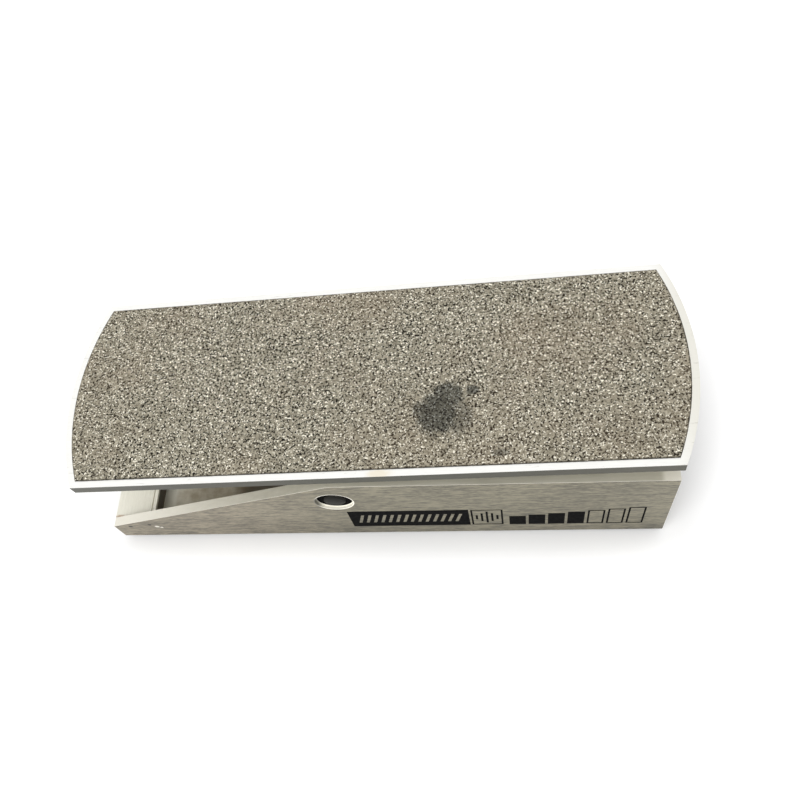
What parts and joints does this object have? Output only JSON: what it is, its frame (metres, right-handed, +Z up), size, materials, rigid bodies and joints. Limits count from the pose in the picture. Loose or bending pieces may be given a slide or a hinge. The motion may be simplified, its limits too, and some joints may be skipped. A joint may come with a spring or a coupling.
{
  "type": "volume pedal",
  "caption": "Rocker volume pedal: an aluminium channel base, a grit-topped treadle that tilts on a cross shaft and turns a potentiometer by a cord, and plug jacks in the toe end.",
  "frame": {"origin": "centre of the outline at rest, on the floor that the rubber feet stand on", "axes": "+X points to the heel end and -X to the toe end, where the jacks are; +Y is to the player's right; +Z is up"},
  "size_m": [0.254, 0.088, 0.0689],
  "materials": {
    "base_aluminium": "brushed lengthwise",
    "bar_aluminium": "satin",
    "treadle_aluminium": "satin, bright worn rim",
    "grit": "coarse mineral grit",
    "rubber": "moulded",
    "black_plastic": "moulded",
    "dark_steel": "blackened",
    "plated_steel": "zinc plated",
    "post_aluminium": "turned",
    "nickel": "polished",
    "shaft_aluminium": "turned",
    "brass": "turned",
    "jack_body": "moulded",
    "pot_case": "pressed can",
    "board_green": "solder mask",
    "nylon": "moulded",
    "cord_fibre": "twisted",
    "cable_jacket": "extruded",
    "spring_steel": "drawn wire"
  },
  "bodies": {
    "base": {"base_channel": "base_aluminium", "jack_bar": "bar_aluminium", "rubber_feet": "rubber", "heel_bumpers": "rubber", "toe_bumpers": "rubber", "left_bushing": "black_plastic", "right_bushing": "black_plastic", "taper_switch": "black_plastic", "pot_bracket": "plated_steel", "pot_washer": "plated_steel", "jack_washers": "plated_steel", "bar_screws": "plated_steel", "board_screws": "plated_steel", "bracket_screws": "plated_steel", "post_screws": "plated_steel", "heel_posts": "post_aluminium", "jack_nuts": "nickel", "switch_nut": "nickel", "pot_nut": "nickel", "board_standoffs": "brass", "input_jack": "jack_body", "output_jack": "jack_body", "potentiometer": "pot_case", "circuit_board": "board_green", "loom_connector": "nylon", "wire_loom": "cable_jacket"},
    "treadle": {"pivot_shaft": "dark_steel", "friction_washers": "nylon", "left_lug": "plated_steel", "right_lug": "plated_steel", "lug_screws": "plated_steel", "shaft_set_screws": "dark_steel", "treadle_plate": "treadle_aluminium", "grip_tape": "grit", "drive_sector": "plated_steel", "sector_screws": "plated_steel", "drive_cord": "cord_fibre", "cord_anchors": "plated_steel", "cord_spring": "spring_steel"},
    "pot_rotor": {"pot_shaft": "shaft_aluminium", "shaft_collar": "brass", "collar_screw": "dark_steel", "cord_wrap": "cord_fibre"},
    "switch_toggle": {"switch_lever": "nickel"}
  },
  "joints": [
    {"name": "treadle_tilt", "type": "hinge", "parent": "base", "child": "treadle", "pos_m": [-0.01415, 0, 0.0393], "axis": [0, -1, 0], "range_deg": [-2.3, 18.2]},
    {"name": "pot_turn", "type": "hinge", "parent": "base", "child": "pot_rotor", "pos_m": [0.03139, 0, 0.02624], "axis": [0, -1, 0], "range_deg": [-240, 60]},
    {"name": "switch_flip", "type": "hinge", "parent": "base", "child": "switch_toggle", "pos_m": [-0.11355, 0, 0.0092], "axis": [0, 0, 1], "range_deg": [0, 25]}
  ],
  "couplings": [
    {"joint": "pot_turn", "follows": "treadle_tilt", "ratio": -12}
  ]
}
